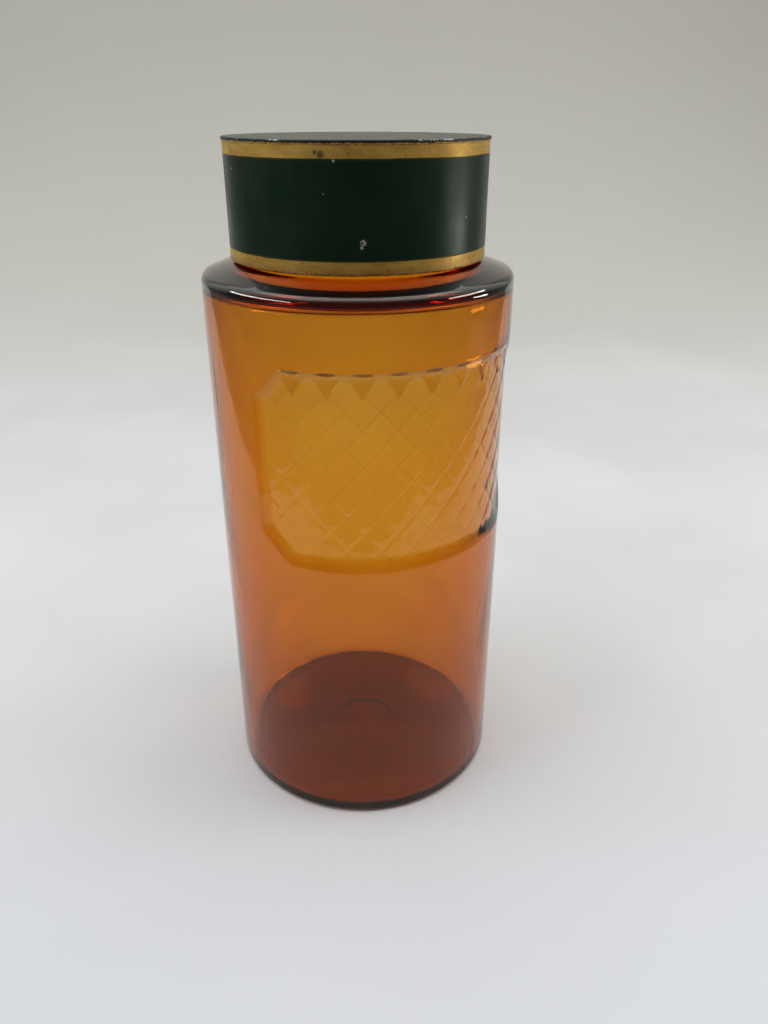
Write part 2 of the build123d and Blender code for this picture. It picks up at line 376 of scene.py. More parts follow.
def dent(angle, z):
    """Small unevenness of the hand-rolled band, the same inside and outside."""
    a = math.radians(angle)
    x, y = LID_R * math.cos(a), LID_R * math.sin(a)
    high = smooth_step((LID_TOP - z) / 12)
    return high * (0.10 * wobble(x, y, z, 26, 2.0) + 0.05 * wobble(x, y, z * 0.4, 9, 6.0))


def lid_band_angles():
    """Even columns, with close pairs where the lapped edges step."""
    angles = even_angles(240)
    for edge in (SEAM_ANGLE - LAP / 2, -SEAM_ANGLE + LAP / 2):
        angles += [edge - 0.28, edge, edge + 0.28]
    return sorted(set(round(a, 4) for a in angles))


def lid_band():
    """The rolled, lapped and hemmed side of the lid, as one folded sheet."""
    outer, inner = LID_R, LID_R - SHEET
    hem_in = inner - SHEET + 0.02
    fold_z = LID_BOTTOM + SHEET
    top = DISC_UNDER - 0.02
    fold = arc((inner, fold_z), SHEET, math.pi, 2 * math.pi, 8)
    hem_top = LID_BOTTOM + HEM
    rows = line((outer, top), (inner, top), 2) + line((inner, top), (inner, hem_top), 20)
    rows += [(inner, hem_top), (inner - 0.06, hem_top), (hem_in, hem_top - 0.05)]
    rows += line((hem_in, hem_top - 0.4), fold[0], 4) + fold[:-1]
    rows += line((outer, fold_z), (outer, top), 44)

    def shape(r, z, angle, index):
        past = angle - (SEAM_ANGLE - LAP / 2)
        offset = dent(angle, z)
        if r > outer - 0.01 and past < 0:
            # the outer end of the sheet stands over the inner one along one straight edge
            offset -= 0.22 * math.exp(past / 6.0)
        elif outer - 0.01 > r > hem_in + 0.1 and z > hem_top:
            # inside, the sheet is double where its two ends lap
            if 180 - abs(angle) < LAP / 2:
                offset -= SHEET - 0.05
        ragged = 0.05 * wobble(angle * 0.8, 0, z, 3, 9.0) if z < fold_z else 0
        return r + offset, z + ragged

    return turned("lid_band_sheet", rows, lid_band_angles(), shape, loop=True)


def lid_disc():
    """The top of the lid with its edge turned down, battered along the rim."""
    rim_in = LID_R + 0.05
    round_r = 0.42
    flat_r = 45.6
    radii = [0, 4, 9, 14, 19, 24, 29, 33, 36, 39, 41, 42.5, 43.6, 44.4, 45.0, 45.5]
    top = [(r, LID_TOP) for r in radii]
    edge = arc((RIM_R - round_r, LID_TOP - round_r), round_r, math.pi / 2, 0, 6)
    rows = top + edge
    rows += line((RIM_R, LID_TOP - round_r), (RIM_R, RIM_LOW), 4)[1:]
    rows += [(RIM_R - 0.04, RIM_LOW), (rim_in + 0.04, RIM_LOW), (rim_in, RIM_LOW + 0.05)]
    rows += [(rim_in, DISC_UNDER - 0.1), (rim_in - 0.15, DISC_UNDER)]
    rows += [(r, DISC_UNDER) for r in radii[::-1]]
    rows = rows[::-1]

    def shape(r, z, angle, index):
        a = math.radians(angle)
        x, y = r * math.cos(a), r * math.sin(a)
        if r < flat_r:
            sunk = 0.05 * (1 - smooth_step((r - 43.2) / 1.6))
            uneven = 0.08 * wobble(x, y, 0, 30, 3.0) + 0.03 * wobble(x, y, 0, 11, 5.0)
            return r, z - sunk - 0.07 - uneven * smooth_step((45 - r) / 6)
        rim_x, rim_y = RIM_R * math.cos(a), RIM_R * math.sin(a)
        nick = max(0.0, wobble(rim_x, rim_y, 0, 3.1, 8.0) - 0.25) * 0.5
        tap = 0.10 * wobble(rim_x, rim_y, 0, 14, 1.0)
        down = smooth_step((LID_TOP - z) / 1.0)
        flare = 0.05 * wobble(rim_x, rim_y, 0, 8, 2.0) - 0.16
        low = down * 0.14 * wobble(rim_x, rim_y, 0, 2.3, 4.0)
        return r + flare * down, z - 0.06 - (1 - down) * (nick * 0.2 + 0.4 * abs(tap)) + low

    return turned("lid_disc_sheet", rows, even_angles(360), shape)


def lid_cork():
    """The cork wad, its edges crumbled and a ring pressed into it by the jar's lip."""
    low, high = LINER_LOW[2] / MM, LINER_HIGH[2] / MM
    edge = LINER_HIGH[0] / MM
    bevel = 0.3
    lip_mid = NECK_R - NECK_WALL / 2
    radii = [0, 3, 7, 12, 17, 22, 27, 32, 36, 39]
    radii += [lip_mid - 3.2 + 0.4 * i for i in range(10)]
    rows = [(r, low) for r in radii if r < edge - bevel - 0.1]
    rows += [(edge - bevel, low), (edge, low + bevel), (edge, (low + high) / 2)]
    rows += [(edge, high - bevel), (edge - bevel, high)]
    rows += [(r, high) for r in (42, 38, 30, 20, 10, 0)]

    def shape(r, z, angle, index):
        a = math.radians(angle)
        x, y = r * math.cos(a), r * math.sin(a)
        if z > high - 0.01:
            return r, z - 0.02
        pores = max(0.0, wobble(x, y, z, 2.4, 3.0) - 0.3)
        z += 0.5 * pores + 0.05 * abs(wobble(x, y, 0, 9, 1.0))
        if z < low + 0.8 and r > 30:
            z += 0.16 * math.exp(-(((r - lip_mid) / 0.9) ** 2))
        if r > edge - 0.1:
            r -= 0.25 * abs(wobble(x, y, z, 3.0, 5.0))
        return r, z

    return turned("lid_cork_wad", rows, even_angles(260), shape)


def lid_solder_ring():
    """A hand-run bead of solder in the corner under the disc."""
    corner_r = SOLDER_HIGH[0] / MM - 0.03
    corner_z = SOLDER_HIGH[2] / MM - 0.02
    leg = corner_z - SOLDER_LOW[2] / MM - 0.05
    rows = [(corner_r, corner_z), (corner_r - leg, corner_z)]
    rows += [(corner_r - 0.80 * leg, corner_z - 0.14 * leg)]
    rows += [(corner_r - 0.42 * leg, corner_z - 0.42 * leg)]
    rows += [(corner_r - 0.14 * leg, corner_z - 0.80 * leg), (corner_r, corner_z - leg)]

    def shape(r, z, angle, index):
        a = math.radians(angle)
        lump = 0.75 + 0.25 * wobble(math.cos(a) * LID_R, math.sin(a) * LID_R, 0, 5, 2.0)
        return corner_r + (r - corner_r) * lump, corner_z + (z - corner_z) * lump

    return turned("lid_solder_bead", rows, even_angles(300), shape, loop=True)


def lid_solder_seam():
    """Two thin runs of solder along the lapped edges inside the band."""
    low, high = SEAM_LOW[2] / MM, SEAM_HIGH[2] / MM
    wall_r = LID_R - SHEET - 0.02
    verts, faces = [], []
    steps, sides = 60, 6
    for side in (-1, 1):
        base = len(verts)
        middle = SEAM_ANGLE + side * (LAP / 2 + 0.02 + 0.19)
        for i in range(steps + 1):
            z = low + 0.1 + (high - low - 0.2) * i / steps
            lump = 0.8 + 0.2 * wobble(side * 9, 0, z, 4, 6.0)
            for k in range(sides):
                turn = 2 * math.pi * k / sides
                r = wall_r - 0.14 + 0.13 * lump * math.cos(turn)
                a = math.radians(middle - 90 + 0.17 * lump * math.sin(turn))
                verts.append((r * math.cos(a) * MM, r * math.sin(a) * MM, z * MM))
        for i in range(steps):
            for k in range(sides):
                a0, a1 = base + i * sides + k, base + i * sides + (k + 1) % sides
                faces.append((a0, a1, a1 + sides, a0 + sides))
        faces.append([base + k for k in reversed(range(sides))])
        faces.append([base + steps * sides + k for k in range(sides)])
    return new_piece("lid_solder_runs", verts, faces)


# --- node helpers ---------------------------------------------------------------------
class Shader:
    """A material under construction. Values may be plain or another node's output."""

    def __init__(self, name):
        self.material = bpy.data.materials.new(name)
        self.material.use_nodes = True
        self.tree = self.material.node_tree
        self.tree.nodes.clear()
        self.output = self.tree.nodes.new("ShaderNodeOutputMaterial")

    def add(self, kind, inputs=None, **settings):
        node = self.tree.nodes.new("ShaderNode" + kind)
        for key, value in settings.items():
            setattr(node, key, value)
        for key, value in (inputs or {}).items():
            if isinstance(value, bpy.types.NodeSocket):
                self.tree.links.new(value, node.inputs[key])
            else:
                node.inputs[key].default_value = value
        return node

    def math(self, operation, a, b=0.0, c=0.0):
        return self.add("Math", {0: a, 1: b, 2: c}, operation=operation).outputs[0]

    def clamped(self, operation, a, b=0.0):
        return self.add("Math", {0: a, 1: b}, operation=operation, use_clamp=True).outputs[0]

    def ramp(self, value, low, high, to_low=0.0, to_high=1.0):
        """value from low to high, smoothly mapped to to_low .. to_high and held outside."""
        inputs = {0: value, 1: low, 2: high, 3: to_low, 4: to_high}
        return self.add("MapRange", inputs, interpolation_type="SMOOTHSTEP").outputs[0]

    def mix(self, factor, a, b):
        inputs = {0: factor, 6: a, 7: b}
        return self.add("Mix", inputs, data_type="RGBA").outputs[2]

    def noise(self, vector, scale, detail=3.0, roughness=0.55, distortion=0.0):
        inputs = {"Vector": vector, "Scale": scale, "Detail": detail}
        inputs.update({"Roughness": roughness, "Distortion": distortion})
        return self.add("TexNoise", inputs).outputs["Fac"]

    def position(self):
        """The point in millimetres, fixed to the piece."""
        place = self.add("TexCoord").outputs["Object"]
        return self.add("VectorMath", {0: place, "Scale": 1 / MM}, operation="SCALE").outputs[0]

    def stretched(self, vector, x, y, z):
        return self.add("VectorMath", {0: vector, 1: (x, y, z)}, operation="MULTIPLY").outputs[0]

    def split(self, vector):
        parts = self.add("SeparateXYZ", {0: vector}).outputs
        return parts[0], parts[1], parts[2]

    def radius(self, x, y):
        """How far a point is from the jar's axis."""
        squares = self.math("ADD", self.math("MULTIPLY", x, x), self.math("MULTIPLY", y, y))
        return self.math("SQRT", squares)

    def cells(self, place, scale):
        """Scattered points: how far the nearest one is, and a random colour for it."""
        inputs = {"Vector": place, "Scale": scale, "Randomness": 1.0}
        points = self.add("TexVoronoi", inputs).outputs
        return points["Distance"], self.split(points["Color"])

    def bump(self, height, distance, strength=1.0, normal=None):
        """height in units of distance, which is in metres."""
        inputs = {"Height": height, "Distance": distance, "Strength": strength}
        if normal is not None:
            inputs["Normal"] = normal
        return self.add("Bump", inputs).outputs[0]

    def finish(self, inputs, volume=None):
        surface = self.add("BsdfPrincipled", inputs)
        self.tree.links.new(surface.outputs[0], self.output.inputs["Surface"])
        if volume is not None:
            self.tree.links.new(volume.outputs[0], self.output.inputs["Volume"])
        return self.material


def spot(s, place, angle, height, size, ragged):
    """1 within a ragged spot of that size at that angle and height on the lid's side."""
    a = math.radians(angle - 90)
    centre = (LID_R * math.cos(a), LID_R * math.sin(a), height)
    away = s.add("VectorMath", {0: place, 1: centre}, operation="DISTANCE").outputs["Value"]
    away = s.math("MULTIPLY_ADD", ragged, size * 1.2, away)
    return s.ramp(away, size * 1.15, size * 1.75, 1.0, 0.0)


# --- materials ------------------------------------------------------------------------
def glass_normal(s, place):
    """Faint streaks from the mould, and a few seed bubbles that opened at the surface."""
    streak = s.noise(s.stretched(place, 1.0, 1.0, 0.25), 0.09, 3.0)
    ripple = s.bump(streak, 0.00025, 0.5)
    distance, pick = s.cells(place, 0.11)
    chosen = s.math("GREATER_THAN", pick[0], 0.66)
    near = s.ramp(distance, 0.02, 0.06, 1.0, 0.0)
    pit = s.math("MULTIPLY", near, chosen)
    return s.bump(s.math("MULTIPLY", pit, -1.0), 0.0002, 0.6, ripple)


def worked_recess(s, place, tint):
    """The recess's tint: shaded creases and tongues, and painted shade as dark dashes in its sharp
    upper step.
    """
    x, y, z = s.split(place)
    angle = s.math("MULTIPLY", s.math("ARCTAN2", x, s.math("MULTIPLY", y, -1.0)), 180 / math.pi)
    out = s.radius(x, y)
    turn = s.math("ABSOLUTE", angle)
    within = s.ramp(turn, WORKED_HALF_ANGLE - 1.0, WORKED_HALF_ANGLE + 1.0, 1.0, 0.0)

    # lattice creases, in the recess's floor
    across = s.math("DIVIDE", angle, DIAMOND_ANGLE)
    up = s.math("DIVIDE", s.math("SUBTRACT", z, DIAMOND_TOP), DIAMOND_HEIGHT)
    rising = s.math("PINGPONG", s.math("ADD", across, up), 0.5)
    falling = s.math("PINGPONG", s.math("SUBTRACT", across, up), 0.5)
    crease = s.ramp(s.math("MINIMUM", rising, falling), 0.012, 0.05, 1.0, 0.0)
    from_middle = s.math("ABSOLUTE", s.math("SUBTRACT", z, RECESS_MIDDLE))
    in_floor = s.ramp(from_middle, RECESS_HALF_HEIGHT - 3.5, RECESS_HALF_HEIGHT - 2.5, 1.0, 0.0)
    on_floor = s.ramp(out, BODY_R - 2.5, BODY_R - 2.1)
    in_floor = s.math("MULTIPLY", s.math("MULTIPLY", in_floor, within), on_floor)
    uneven = s.ramp(s.noise(place, 0.035, 2.0), 0.35, 0.65, 0.08, 0.42)
    crease = s.math("MULTIPLY", s.math("MULTIPLY", crease, in_floor), uneven)
    tint = s.mix(crease, tint, (0.55, 0.42, 0.30, 1))

    # tongues of thicker glass, one under each painted dark dash
    off = s.math("PINGPONG", across, 0.5)
    off = s.math("MULTIPLY_ADD", s.noise(place, 0.35, 2.0), 0.16, s.math("SUBTRACT", off, 0.08))
    taper = s.math("MULTIPLY", s.math("SUBTRACT", z, TONGUE_TIP), 0.37 / TONGUE_HEIGHT)
    tongue = s.ramp(s.math("SUBTRACT", off, taper), -0.02, 0.02, 1.0, 0.0)
    tongue = s.math("MULTIPLY", tongue, s.ramp(z, DASH_Z - 2.1, DASH_Z - 1.5, 1.0, 0.0))
    strength = s.math("MULTIPLY", in_floor, s.ramp(angle, 2.0, 8.0, 0.45, 0.0))
    tongue = s.math("MULTIPLY", tongue, strength)
    tint = s.mix(tongue, tint, (0.60, 0.46, 0.12, 1))

    # painted shade in the step: a thin dark line, and a thick dark dash above each crossing
    level = s.math("ABSOLUTE", s.math("SUBTRACT", z, DASH_Z))
    level = s.math("MULTIPLY_ADD", off, 0.9, level)
    dash = s.math("MULTIPLY", s.ramp(level, 0.5, 0.9, 1.0, 0.0), s.ramp(off, 0.20, 0.33, 1.0, 0.0))
    thin = s.ramp(level, 0.25, 0.7, 0.35, 0.0)
    on_step = s.math("MULTIPLY", within, s.ramp(out, BODY_R - 1.9, BODY_R - 1.6))
    painted_dash_shade = s.math("MULTIPLY", s.math("MAXIMUM", dash, thin), on_step)
    patchy = s.ramp(s.noise(place, 0.05, 2.0), 0.35, 0.6, 0.8, 1.0)
    return s.mix(s.math("MULTIPLY", painted_dash_shade, patchy), tint, (0.07, 0.03, 0.012, 1))


def amber_glass():
    s = Shader("amber_glass")
    place = s.position()
    film = s.ramp(s.noise(place, 0.045, 4.0, 0.6), 0.45, 0.8)
    tint = s.mix(film, (0.99, 0.985, 0.97, 1), (0.94, 0.92, 0.88, 1))
    z = s.split(place)[2]
    volume = s.add("VolumeAbsorption")
    volume.inputs["Color"].default_value = (0.925, 0.700, 0.01, 1)
    volume.inputs["Density"].default_value = 1020.0
    return s.finish(
        {
            "Base Color": worked_recess(s, place, tint),
            "Roughness": s.ramp(film, 0, 1, 0.0, 0.06),
            "IOR": 1.51,
            "Specular IOR Level": 0.12,
            "Specular Tint": (1.0, 0.84, 0.60, 1),
            # the shoulder is cleaner and shinier
            "Coat Weight": s.ramp(z, SHOULDER_Z - 3.0, SHOULDER_Z, 0.0, 0.6),
            "Coat IOR": 1.5,
            "Coat Roughness": 0.02,
            "Transmission Weight": 1.0,
            "Normal": glass_normal(s, place),
        },
        volume,
    )


GOLD_HIGH = 255.0  # lower edge of the upper gold band
GOLD_LOW = 225.5  # upper edge of the lower gold band

# chips and stains on the lid's side: angle, height, size
BARE_CHIPS = (
    (-23.6, 231.2, 1.05),
    (-24.2, 229.7, 0.60),
    (-34.5, 254.7, 0.45),
    (-88.2, 251.3, 0.40),
    (-38.7, 245.4, 0.22),
    (24.6, 236.8, 0.25),
    (118.0, 241.0, 0.6),
    (167.0, 229.5, 0.5),
    (-140.0, 247.0, 0.35),
)
PAINT_ISLAND = (-24.0, 231.1, 0.45)  # paint left standing inside the largest chip
STAINS = ((-39.4, 256.4, 1.3), (-41.5, 257.0, 0.8), (75.0, 256.0, 0.9), (150.0, 224.0, 1.0))


BARE_INSIDE = ((0.20, 0.19, 0.17, 1), (0.34, 0.32, 0.28, 1))  # dull tin inside the lid


def green_paint(s, place, unrolled):
    """Green brushed up and down, a little cloudy: its colour and roughness."""
    brushed = s.noise(s.stretched(unrolled, 0.22, 0.02, 1.0), 1.0, 4.0, 0.6)
    cloud = s.noise(place, 0.06, 3.0)
    colour = s.mix(brushed, (0.0035, 0.0105, 0.0050, 1), (0.0060, 0.0240, 0.0100, 1))
    colour = s.mix(s.ramp(cloud, 0.35, 0.7, 0.0, 0.4), colour, (0.0070, 0.0170, 0.0090, 1))
    return colour, s.ramp(cloud, 0.3, 0.7, 0.30, 0.40)


def gold_paint(s, place, unrolled, z, scratch):
    """Gold that is rubbed, scratched and specked, browner at the lid's lower edge: its
    colour and roughness."""
    rub = s.noise(s.stretched(unrolled, 0.10, 0.35, 1.0), 1.0, 5.0, 0.65)
    colour = s.mix(s.ramp(rub, 0.3, 0.7), (0.45, 0.250, 0.050, 1), (0.66, 0.395, 0.085, 1))
    hem = s.ramp(z, LID_BOTTOM, LID_BOTTOM + 3.4, 1.0, 0.0)
    grime = s.math("MULTIPLY", hem, s.ramp(s.noise(place, 0.5, 4.0, 0.7), 0.3, 0.65, 0.35, 1.0))
    colour = s.mix(s.math("MULTIPLY", grime, 0.5), colour, (0.27, 0.12, 0.045, 1))
    worn_zone = s.ramp(s.noise(place, 0.07, 2.0), 0.52, 0.66)
    bright = s.math("MULTIPLY", s.ramp(scratch, 0.54, 0.6), worn_zone)
    colour = s.mix(bright, colour, (0.56, 0.38, 0.11, 1))
    distance, pick = s.cells(place, 0.9)
    chosen = s.math("GREATER_THAN", pick[0], s.ramp(hem, 0, 1, 0.93, 0.62))
    speck = s.math("MULTIPLY", s.ramp(distance, 0.12, 0.3, 1.0, 0.0), chosen)
    colour = s.mix(speck, colour, (0.055, 0.026, 0.012, 1))
    return colour, s.ramp(rub, 0.25, 0.75, 0.46, 0.34)


def gold_bands(s, place, z):
    """Where the two gold bands are, and the dark line along their edges."""
    edge_wave = s.math("MULTIPLY_ADD", s.noise(place, 0.12, 2.0), 0.5, -0.25)
    edge_grain = s.math("MULTIPLY_ADD", s.noise(place, 1.6, 2.0), 0.14, -0.07)
    height = s.math("ADD", s.math("ADD", z, edge_wave), edge_grain)
    upper = s.ramp(height, GOLD_HIGH - 0.06, GOLD_HIGH + 0.06)
    lower = s.ramp(height, GOLD_LOW - 0.06, GOLD_LOW + 0.06, 1.0, 0.0)
    off_high = s.math("ABSOLUTE", s.math("SUBTRACT", height, GOLD_HIGH))
    off_low = s.math("ABSOLUTE", s.math("SUBTRACT", height, GOLD_LOW))
    edges = s.ramp(s.math("MINIMUM", off_high, off_low), 0.12, 0.42, 1.0, 0.0)
    return s.clamped("ADD", upper, lower), edges


def dark_wear(s, place, z, ragged):
    """Ragged dark wear under the rim and along the lower fold."""
    from_fold = s.math("SUBTRACT", s.math("MULTIPLY_ADD", ragged, -2.6, z), LID_BOTTOM - 1.02)
    fold_wear = s.ramp(from_fold, -0.12, 0.12, 1.0, 0.0)
    below_rim = s.math("MULTIPLY_ADD", s.noise(place, 1.3, 4.0, 0.7), 2.4, z)
    rim_wear = s.ramp(below_rim, RIM_LOW + 1.05, RIM_LOW + 1.2)
    return s.math("MULTIPLY", s.math("MAXIMUM", fold_wear, rim_wear), 0.85)


def bare_spots(s, place, ragged):
    """Chips down to the tin, and pinholes scattered between them."""
    bare = 0.0
    for chip in BARE_CHIPS:
        bare = s.math("MAXIMUM", bare, spot(s, place, *chip, ragged))
    island = spot(s, place, *PAINT_ISLAND, ragged)
    bare = s.math("MULTIPLY", bare, s.math("SUBTRACT", 1.0, island))
    distance, pick = s.cells(place, 0.16)
    chosen = s.math("GREATER_THAN", pick[1], 0.8)
    pin = s.math("MULTIPLY", s.ramp(distance, 0.012, 0.034, 1.0, 0.0), chosen)
    return s.math("MAXIMUM", bare, pin)


def lid_paint():
    """Dark green japanning between two bands of gold paint, chipped and rubbed."""
    s = Shader("lid_band_paint")
    place = s.position()
    x, y, z = s.split(place)
    around = s.math("MULTIPLY", s.math("ARCTAN2", y, x), LID_R)
    unrolled = s.add("CombineXYZ", {0: around, 1: z, 2: 0.0}).outputs[0]
    ragged = s.noise(place, 0.9, 4.0, 0.75)
    scratch = s.noise(s.stretched(unrolled, 0.35, 2.6, 1.0), 1.0, 3.0, 0.7, 0.6)

    gold, edges = gold_bands(s, place, z)
    green_colour, green_rough = green_paint(s, place, unrolled)
    gold_colour, gold_rough = gold_paint(s, place, unrolled, z, scratch)
    colour = s.mix(gold, green_colour, gold_colour)
    colour = s.mix(edges, colour, (0.030, 0.030, 0.008, 1))
    wear = dark_wear(s, place, z, ragged)
    colour = s.mix(wear, colour, (0.030, 0.018, 0.010, 1))
    for stain in STAINS:
        mask = s.math("MULTIPLY", spot(s, place, *stain, ragged), 0.75)
        colour = s.mix(mask, colour, (0.050, 0.036, 0.020, 1))
    bare = bare_spots(s, place, ragged)
    tin = s.mix(ragged, (0.34, 0.33, 0.29, 1), (0.66, 0.64, 0.58, 1))
    colour = s.mix(bare, colour, tin)
    outer = s.ramp(s.radius(x, y), LID_R - 0.30, LID_R - 0.22)
    inside = s.mix(s.noise(place, 0.25, 5.0), *BARE_INSIDE)
    colour = s.mix(outer, inside, colour)

    rough = s.add("Mix", {0: gold, 2: green_rough, 3: gold_rough}, data_type="FLOAT").outputs[0]
    rough = s.math("ADD", rough, s.math("MULTIPLY", wear, 0.2))
    metal = s.math("MULTIPLY", gold, 0.35)
    metal = s.math("MAXIMUM", metal, s.math("MULTIPLY", bare, 0.5))
    metal = s.math("MULTIPLY", metal, s.math("SUBTRACT", 1.0, wear))
    metal = s.math("MAXIMUM", metal, s.math("SUBTRACT", 1.0, outer))
    film = s.math("MULTIPLY", s.math("MAXIMUM", bare, wear), -1.0)
    film = s.math("ADD", film, s.math("MULTIPLY", gold, 0.35))
    peel = s.bump(s.noise(place, 0.8, 2.0), 0.00006, 0.35)
    return s.finish(
        {
            "Base Color": colour,
            "Roughness": rough,
            "Metallic": metal,
            "Normal": s.bump(film, 0.00006, 1.0, s.bump(scratch, 0.00002, 0.4, peel)),
            "IOR": 1.40,
            "Specular IOR Level": 0.34,
            "Specular Tint": (0.75, 1.0, 0.78, 1),
        }
    )


def scratches(s, place):
    """Fine scratches over the lid's top, in two directions."""
    turned_place = s.add("VectorRotate", {"Vector": place, "Angle": 0.6}).outputs[0]
    first = s.noise(s.stretched(turned_place, 0.08, 3.0, 1.0), 1.0, 2.0, 0.8, 0.4)
    second = s.noise(s.stretched(place, 2.6, 0.07, 1.0), 1.0, 2.0, 0.8, 0.5)
    return s.math("MAXIMUM", s.ramp(first, 0.70, 0.73), s.ramp(second, 0.71, 0.74))


def lid_top_paint():
    """The same green over the disc, scuffed on top and worn to tin along the rim."""
    s = Shader("lid_disc_paint")
    place = s.position()
    x, y, z = s.split(place)
    out = s.radius(x, y)
    cloud = s.noise(place, 0.05, 4.0, 0.6)
    colour = s.mix(s.ramp(cloud, 0.3, 0.7), (0.0120, 0.0220, 0.0100, 1), (0.0240, 0.0380, 0.0160, 1))
    dust = s.noise(place, 0.35, 6.0, 0.7)
    colour = s.mix(s.ramp(dust, 0.48, 0.78, 0.0, 0.35), colour, (0.075, 0.080, 0.066, 1))
    cuts = scratches(s, place)
    colour = s.mix(s.math("MULTIPLY", cuts, 0.5), colour, (0.12, 0.12, 0.10, 1))

    ragged = s.noise(place, 0.75, 5.0, 0.75)
    fine = s.noise(place, 1.7, 3.0, 0.7)
    edge = s.ramp(out, LID_R - 1.6, LID_R - 0.1)
    dark = s.ramp(s.math("ADD", edge, s.math("MULTIPLY_ADD", ragged, 1.0, -0.5)), 0.70, 0.86)
    colour = s.mix(dark, colour, (0.010, 0.009, 0.008, 1))
    side = s.ramp(out, LID_R - 0.15, LID_R + 0.05)
    drip = s.ramp(s.math("MULTIPLY_ADD", ragged, 1.5, z), RIM_LOW + 0.88, RIM_LOW + 1.02, 1.0, 0.0)
    gold = s.math("MULTIPLY", side, drip)
    gold_colour = s.mix(ragged, (0.34, 0.20, 0.055, 1), (0.66, 0.43, 0.13, 1))
    colour = s.mix(gold, colour, gold_colour)
    corner = s.ramp(z, RIM_LOW + 0.55, RIM_LOW + 0.9)
    on_edge = s.math("MULTIPLY", s.ramp(out, LID_R - 0.5, LID_R - 0.1), corner)
    place_on_rim = s.ramp(s.noise(place, 0.10, 1.0), 0.56, 0.62)
    bare = s.math("MULTIPLY", on_edge, s.ramp(s.math("MULTIPLY", ragged, fine), 0.24, 0.28))
    bare = s.math("MULTIPLY", bare, place_on_rim)
    tin = s.mix(fine, (0.30, 0.29, 0.26, 1), (0.72, 0.70, 0.66, 1))
    colour = s.mix(bare, colour, tin)

    below = s.ramp(z, DISC_UNDER - 0.05, DISC_UNDER + 0.06, 1.0, 0.0)
    inside = s.math("MULTIPLY", below, s.ramp(out, LID_R - 0.3, LID_R - 0.1, 1.0, 0.0))
    inner = s.mix(s.noise(place, 0.25, 5.0), *BARE_INSIDE)
    colour = s.mix(inside, colour, inner)

    rough = s.ramp(dust, 0.35, 0.75, 0.26, 0.46)
    rough = s.math("ADD", rough, s.math("MULTIPLY", dark, 0.18))
    metal = s.math("MAXIMUM", s.math("MULTIPLY", bare, 0.8), inside)
    metal = s.math("MAXIMUM", metal, s.math("MULTIPLY", gold, 0.35))
    film = s.math("MULTIPLY", s.math("MAXIMUM", s.math("MAXIMUM", bare, dark), cuts), -1.0)
    peel = s.bump(s.noise(place, 0.6, 2.0), 0.00006, 0.35)
    normal = s.bump(film, 0.00005, 1.0, peel)
    return s.finish(
        {
            "Base Color": colour,
            "Roughness": rough,
            "Metallic": metal,
            "Normal": normal,
            "IOR": 1.42,
            "Specular Tint": (1.0, 1.0, 0.86, 1),
        }
    )


def cork():
    s = Shader("cork")
    place = s.position()
    grain = s.noise(place, 0.5, 5.0, 0.65)
    colour = s.mix(s.ramp(grain, 0.3, 0.7), (0.26, 0.145, 0.070, 1), (0.47, 0.31, 0.17, 1))
    tone = s.cells(place, 0.75)[1][0]
    colour = s.mix(s.math("MULTIPLY", tone, 0.35), colour, (0.56, 0.40, 0.24, 1))
    pores = s.ramp(s.noise(place, 1.3, 3.0, 0.7), 0.60, 0.68)
    colour = s.mix(pores, colour, (0.060, 0.030, 0.014, 1))
    height = s.math("SUBTRACT", s.math("MULTIPLY", grain, 0.4), pores)
    return s.finish(
        {
            "Base Color": colour,
            "Roughness": s.ramp(grain, 0.3, 0.7, 0.78, 0.95),
            "Normal": s.bump(height, 0.0002, 0.8),
        }
    )


def solder():
    s = Shader("solder")
    place = s.position()
    grain = s.noise(place, 1.2, 4.0, 0.6)
    colour = s.mix(grain, (0.22, 0.22, 0.21, 1), (0.48, 0.48, 0.46, 1))
    dull = s.ramp(s.noise(place, 0.3, 3.0), 0.4, 0.7)
    colour = s.mix(s.math("MULTIPLY", dull, 0.6), colour, (0.13, 0.125, 0.115, 1))
    return s.finish(
        {
            "Base Color": colour,
            "Metallic": s.ramp(dull, 0, 1, 0.9, 0.55),
            "Roughness": s.ramp(grain, 0.3, 0.7, 0.34, 0.55),
            "Normal": s.bump(grain, 0.0001, 0.6),
        }
    )


def pale_floor():
    """A pale sheet, bluer near the viewer and warmer far off in painted tints of light, with painted
    shade, reddened as by light through the glass, below the jar.
    """
    s = Shader("pale_floor")
    place = s.position()
    soft = s.noise(place, 0.004, 3.0)
    fine = s.noise(place, 0.25, 4.0, 0.7)
    colour = s.mix(s.ramp(soft, 0.3, 0.7), (0.62, 0.615, 0.60, 1), (0.68, 0.675, 0.665, 1))
    x, y = s.split(place)[:2]
    a = math.radians(VIEW_ANGLE)
    away = s.math("ADD", s.math("MULTIPLY", x, -math.sin(a)), s.math("MULTIPLY", y, math.cos(a)))
    # painted light: a bluer tint near the viewer and a warmer one far off
    colour = s.mix(s.ramp(away, -150.0, 60.0, 0.6, 0.0), colour, (0.62, 0.635, 0.68, 1))
    colour = s.mix(s.ramp(away, 300.0, 1100.0, 0.0, 0.8), colour, (0.66, 0.64, 0.57, 1))
    # painted shade under the jar, reddened like light that has passed through the amber glass
    under = s.ramp(s.radius(x, y), BODY_R - 6.0, BODY_R - 2.0, 1.0, 0.0)
    colour = s.mix(under, colour, (0.46, 0.17, 0.15, 1))
    return s.finish(
        {
            "Base Color": colour,
            "Roughness": 0.85,
            "Normal": s.bump(fine, 0.0002, 0.25),
        }
    )


# --- stage, lights and camera -----------------------------------------------------------
VIEW_ANGLE = -25.7  # the viewer stands this far round from the front of the jar
FOCAL = 0.79004  # focal length over the frame's long side
CAMERA_AWAY = 5.380  # the camera's distance from the axis, in body radii
CAMERA_UP = 4.676  # its height, in body radii
CAMERA_PITCH = 26.54  # degrees that it looks down
CAMERA_YAW = 1.77  # degrees that it looks to the right of the axis


